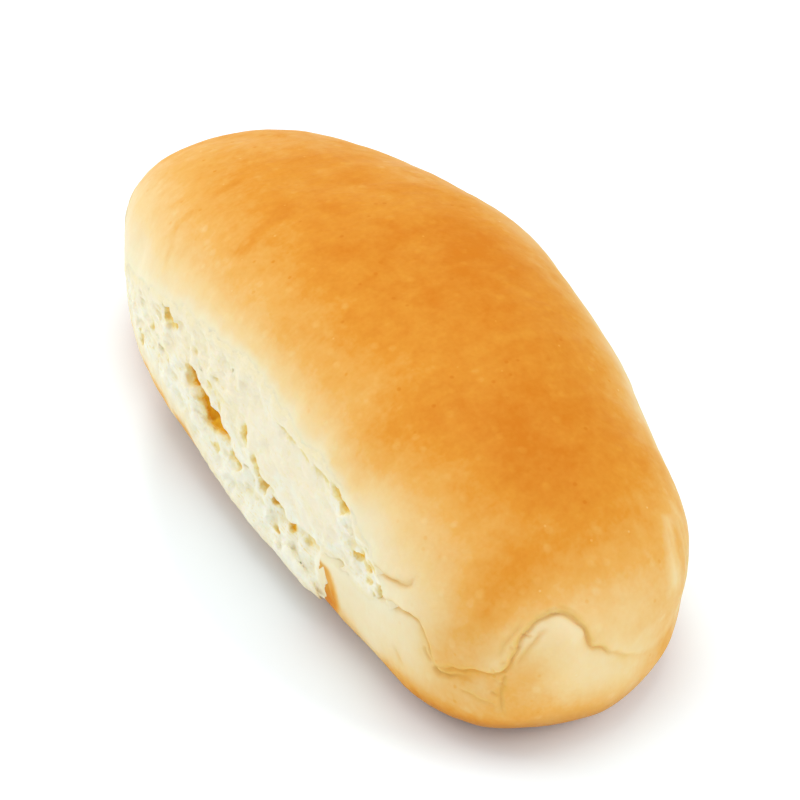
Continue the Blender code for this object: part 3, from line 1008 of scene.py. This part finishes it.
def crumb_material():
    """Torn soft crumb: fluffy cream, with painted shade that makes it darker and warmer down in its
    hollows.
    """
    material, tree, shader = new_material("bun_crumb")
    hollow = mask(tree, "hollow")
    inside = mask(tree, "inside")
    place = add_node(tree, "ShaderNodeSeparateXYZ", {"Vector": object_place(tree)})
    fluff = pattern(tree, 0.55 * MM, 4)
    cloudy = pattern(tree, 3.5 * MM, 3)
    # Creamier higher up, and whiter towards the blunt end
    creamy = cloudy
    for axis, low, high, at_low, at_high in (("Z", 8, 24, -0.15, 0.25), ("X", 28, 35, 0, -0.22)):
        change = remap(tree, place.outputs[axis], low * MM, high * MM, at_low, at_high)
        creamy = maths(tree, "ADD", change, creamy)
    colour = mix(tree, remap(tree, creamy, 0.35, 0.8), CRUMB_WHITE, CRUMB_CREAM)
    colour = mix(tree, remap(tree, inside, 3, 0.2), colour, PALE_SKIN)
    # Painted shade: the crumb is tinted darker and warmer in its dips
    depth = maths(tree, "MULTIPLY_ADD", fluff, 0.5, maths(tree, "SUBTRACT", hollow, 0.25))
    colour = mix(tree, remap(tree, depth, 0.05, 0.9, 0, 0.6), colour, CRUMB_PAINTED_SHADE)
    # Painted shade in the pits, darker and more golden the deeper they go
    pit = maths(tree, "MULTIPLY_ADD", fluff, 0.3, maths(tree, "SUBTRACT", mask(tree, "pit"), 0.15))
    for low, high, tone in PIT_SHADE_TONES:
        colour = mix(tree, remap(tree, pit, low, high), colour, tone)
    plug(tree, shader, {
        "Base Color": colour,
        "Roughness": 0.85,
        "Normal": bump(tree, fluff, 0.3 * MM),
        "Specular IOR Level": 0.15,
        # The light that scatters inside fades out where the sheet of crumb ends under the skin
        "Subsurface Weight": remap(tree, inside, -0.5, 3, 0.05, 0.4),
        "Subsurface Radius": (1, 0.75, 0.4),
        "Subsurface Scale": 1.5 * MM,
    })
    return material


# ---- floor, light and camera

CAMERA_AZIMUTH = 56.45  # degrees from the view along +Y towards the blunt end
CAMERA_ELEVATION = 36.19
CAMERA_DISTANCE = 865 * MM
PHOTO_MIDDLE = (-1.1 * MM, 86.5 * MM, 0)  # what the photograph's camera looked at
AIM = (0, -1 * MM, 17 * MM)
FRAME_PIXELS = 800
FOCAL_PIXELS = 2430
SENSOR_WIDTH = 36
ZOOM = 2  # how much closer this view is framed


def face(piece, aim):
    """Turn a camera or a light to a point."""
    piece.rotation_euler = (Vector(aim) - piece.location).to_track_quat("-Z", "Y").to_euler()


def make_camera():
    """A camera where the photograph's was, turned to the bun and with a longer lens."""
    turn, tilt = math.radians(CAMERA_AZIMUTH), math.radians(CAMERA_ELEVATION)
    level = math.cos(tilt)
    back = Vector((math.sin(turn) * level, -math.cos(turn) * level, math.sin(tilt)))
    camera_data = bpy.data.cameras.new("camera")
    camera = new_object("camera", camera_data)
    camera.location = Vector(PHOTO_MIDDLE) + back * CAMERA_DISTANCE
    face(camera, AIM)
    camera_data.sensor_width = SENSOR_WIDTH
    camera_data.lens = SENSOR_WIDTH * FOCAL_PIXELS / FRAME_PIXELS * ZOOM
    camera_data.clip_start = 0.01
    bpy.context.scene.camera = camera


# Square soft lights: name, place, power and colour
LIGHTS = (
    ("key", (-0.12, 0.12, 1.3), 5.2, (1, 1, 0.98)),
    ("left_fill", (-0.95, -0.6, 0.6), 4.3, (1, 1, 0.99)),
    ("right_fill", (0.9, 0.3, 0.6), 1.9, (1, 1, 0.98)),
)
LIGHT_SIZE = 0.8
LIGHT_AIM = (0, 0, 0.02)


def add_area_light(name, place, power, colour):
    """A square soft light that faces the bun."""
    light_data = bpy.data.lights.new(name, "AREA")
    light_data.size = LIGHT_SIZE
    light_data.energy = power
    light_data.color = colour
    light = new_object(name, light_data)
    light.location = place
    face(light, LIGHT_AIM)


# The floor has a painted shadow round the bun, where it is a little darker and cooler, and a
# painted glow further away: its colour and glow in the shade and outside it
SHADE_MIDDLE = (15 * MM, -15 * MM, 0)
SHADE_HALF_SIZES = (51 * MM, 29.5 * MM, 1)
SHADE_EDGE = (0.98, 1.24)
FLOOR_SHADOW_COLOURS = ((0.88, 0.927, 0.952), (0.90, 0.96, 0.99))
FLOOR_PAINTED_GLOWS = ((0.08, 0.11, 0.17), (0.62, 0.69, 0.78))
GLOW_STRENGTH = 0.26
WORLD_COLOUR = (0.98, 0.99, 1, 1)
WORLD_STRENGTH = 0.615


def make_stage():
    """A white floor with a painted shadow round the bun and a painted glow further away, and soft
    studio light.
    """
    bpy.ops.mesh.primitive_plane_add(size=6)
    floor = bpy.context.object
    floor.name = "floor"
    material, tree, shader = new_material("floor")
    place = object_place(tree, Location=SHADE_MIDDLE, Scale=SHADE_HALF_SIZES)
    away = add_node(tree, "ShaderNodeVectorMath", {0: place}, operation="LENGTH").outputs["Value"]
    away = remap(tree, away, *SHADE_EDGE)
    plug(tree, shader, {
        # Painted shadow in the base colour, and painted light in the glow
        "Base Color": mix(tree, away, *FLOOR_SHADOW_COLOURS),
        "Emission Color": mix(tree, away, *FLOOR_PAINTED_GLOWS),
        "Emission Strength": GLOW_STRENGTH,
        "Roughness": 0.9,
        "Specular IOR Level": 0,
    })
    floor.data.materials.append(material)

    world = bpy.data.worlds.new("studio")
    world.use_nodes = True
    background = world.node_tree.nodes["Background"]
    plug(world.node_tree, background, {"Color": WORLD_COLOUR, "Strength": WORLD_STRENGTH})
    bpy.context.scene.world = world
    for light in LIGHTS:
        add_area_light(*light)
    bpy.context.scene.view_settings.view_transform = "Standard"


# ---- the whole scene


def finish_piece(piece, material):
    """Give a piece its material and its place in the frame."""
    piece.data.materials.append(material)
    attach(piece, "root")


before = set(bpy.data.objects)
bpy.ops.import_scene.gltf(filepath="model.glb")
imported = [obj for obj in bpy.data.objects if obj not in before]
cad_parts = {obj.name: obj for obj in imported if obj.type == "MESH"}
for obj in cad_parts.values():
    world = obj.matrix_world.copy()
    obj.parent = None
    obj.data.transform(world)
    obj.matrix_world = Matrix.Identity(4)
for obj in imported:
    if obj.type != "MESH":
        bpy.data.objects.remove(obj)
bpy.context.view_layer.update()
make_camera()
make_stage()
skin = make_skin()
torn_crumb = make_crumb("torn_crumb", -1, (-62 * MM, 53 * MM), (1.4 * MM, 38.5 * MM), 11)
plain_crumb = make_crumb("plain_crumb", 1, (-47 * MM, 39 * MM), (3.5 * MM, 28 * MM), 23)
finish_piece(skin, skin_material())
crumb_look = crumb_material()
finish_piece(torn_crumb, crumb_look)
finish_piece(plain_crumb, crumb_look)
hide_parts("bun")
for piece in (torn_crumb, plain_crumb):
    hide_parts("bun")
